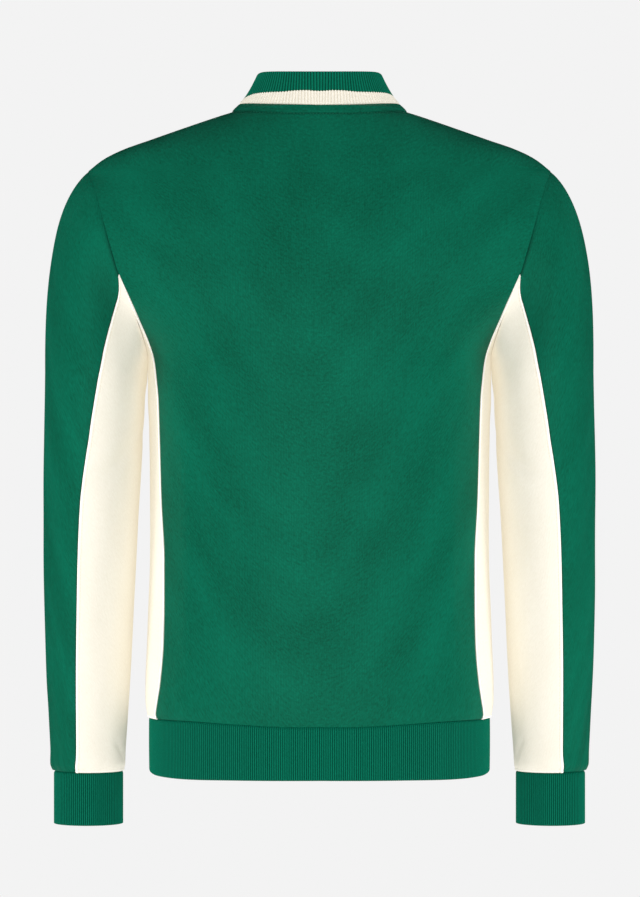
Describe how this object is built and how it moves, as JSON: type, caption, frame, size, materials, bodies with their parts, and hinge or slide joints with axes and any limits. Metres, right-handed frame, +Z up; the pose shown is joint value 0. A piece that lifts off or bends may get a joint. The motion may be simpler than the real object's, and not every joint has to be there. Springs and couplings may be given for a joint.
{
  "type": "track jacket",
  "caption": "Zip-up track jacket with long two-panel sleeves, stand collar and ribbed cuffs and hem, filled out and hollow.",
  "frame": {"origin": "middle of the neck opening, level with the foot of the collar at the shoulders, where the wearer holds the jacket", "axes": "+Z up, +Y towards the back, +X towards the wearer's left"},
  "size_m": [0.5512, 0.2467, 0.7494],
  "materials": {
    "green_interlock": "smooth interlock knit, soft sheen",
    "cream_interlock": "smooth interlock knit, soft sheen",
    "green_rib": "one-by-one rib knit, cream stripe at the collar's foot",
    "zip_tape": "woven tape",
    "zip_teeth": "moulded, satin",
    "zip_metal": "nickel plated, satin"
  },
  "bodies": {
    "jacket": {"back": "green_interlock", "front_left": "green_interlock", "front_right": "green_interlock", "side_panel_left": "cream_interlock", "side_panel_right": "cream_interlock", "sleeve_left": "green_interlock", "sleeve_right": "green_interlock", "undersleeve_left": "cream_interlock", "undersleeve_right": "cream_interlock", "cuff_left": "green_rib", "cuff_right": "green_rib", "hem_band": "green_rib", "collar": "green_rib", "zip_tape_left": "zip_tape", "zip_tape_right": "zip_tape", "zip_teeth_left": "zip_teeth", "zip_teeth_right": "zip_teeth", "zip_box": "zip_metal", "zip_slider": "zip_metal"},
    "pull_tab": {"pull_tab": "zip_metal"}
  },
  "joints": [
    {"name": "pull_tab_hinge", "type": "hinge", "parent": "jacket", "child": "pull_tab", "pos_m": [0, -0.07181, -0.0488], "axis": [-1, 0, 0], "range_deg": [0, 150]}
  ]
}
